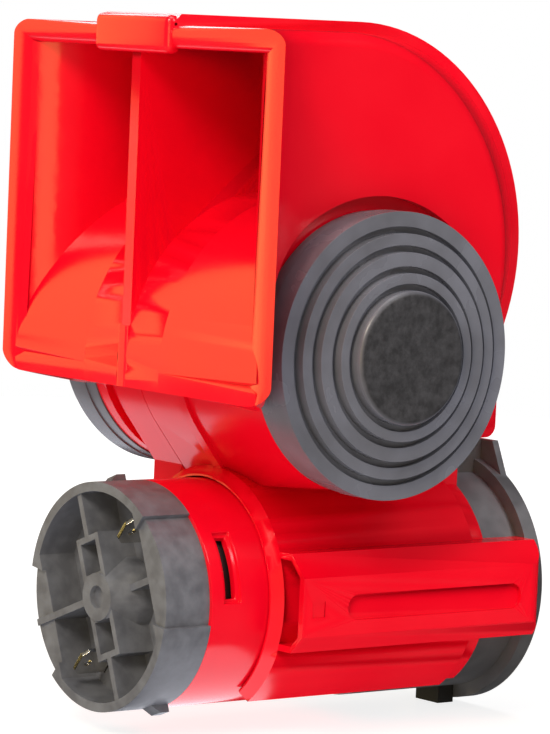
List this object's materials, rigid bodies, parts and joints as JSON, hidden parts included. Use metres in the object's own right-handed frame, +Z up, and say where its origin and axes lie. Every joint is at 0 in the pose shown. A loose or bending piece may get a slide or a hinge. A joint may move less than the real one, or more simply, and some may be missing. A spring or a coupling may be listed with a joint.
{
  "type": "car horn",
  "caption": "Compact electric air horn: snail trumpets side by side in one moulding over a motor-driven vane pump, ribbed diaphragm covers, spade terminals, rear mounting eye.",
  "frame": {"origin": "centre of the mounting eye in the lug behind the trumpets", "axes": "+X across the horns along the eye's bore, towards the low-tone side; -Y the way the trumpets point; +Z up"},
  "size_m": [0.0868, 0.0952, 0.1372],
  "materials": {
    "red_shell": "gloss",
    "red_sleeve": "gloss",
    "black_cover": "gloss",
    "black_nylon": "satin",
    "spring_steel": "satin",
    "cast_alloy": "as cast",
    "tinned_brass": "tin plated",
    "carbon": "matte",
    "plated_steel": "satin",
    "ferrite": "ground",
    "bronze": "sintered",
    "core_steel": "laminated",
    "copper": "satin",
    "rubber": "matte"
  },
  "bodies": {
    "housing": {"center_body": "red_shell", "right_shell": "red_shell", "left_shell": "red_shell", "right_cap": "black_cover", "left_cap": "black_cover", "right_diaphragm": "spring_steel", "left_diaphragm": "spring_steel", "right_clamp_ring": "cast_alloy", "left_clamp_ring": "cast_alloy", "motor_tube": "red_sleeve", "end_cap": "black_nylon", "upper_terminal": "tinned_brass", "lower_terminal": "tinned_brass", "brush_plate": "black_nylon", "right_brush": "carbon", "left_brush": "carbon", "motor_can": "plated_steel", "upper_magnet": "ferrite", "lower_magnet": "ferrite", "front_bush": "bronze", "rear_bush": "bronze", "pump_plate": "cast_alloy", "gasket": "rubber", "pump_cover": "cast_alloy", "foot_pad": "rubber"},
    "rotor": {"shaft": "plated_steel", "armature": "core_steel", "windings": "copper", "commutator": "copper", "pump_rotor": "carbon", "vane_1": "carbon", "vane_2": "carbon", "vane_3": "carbon", "vane_4": "carbon"}
  },
  "joints": [
    {"name": "motor_spin", "type": "hinge", "parent": "housing", "child": "rotor", "pos_m": [0, 0, -0.036], "axis": [0, 1, 0], "continuous": true}
  ]
}
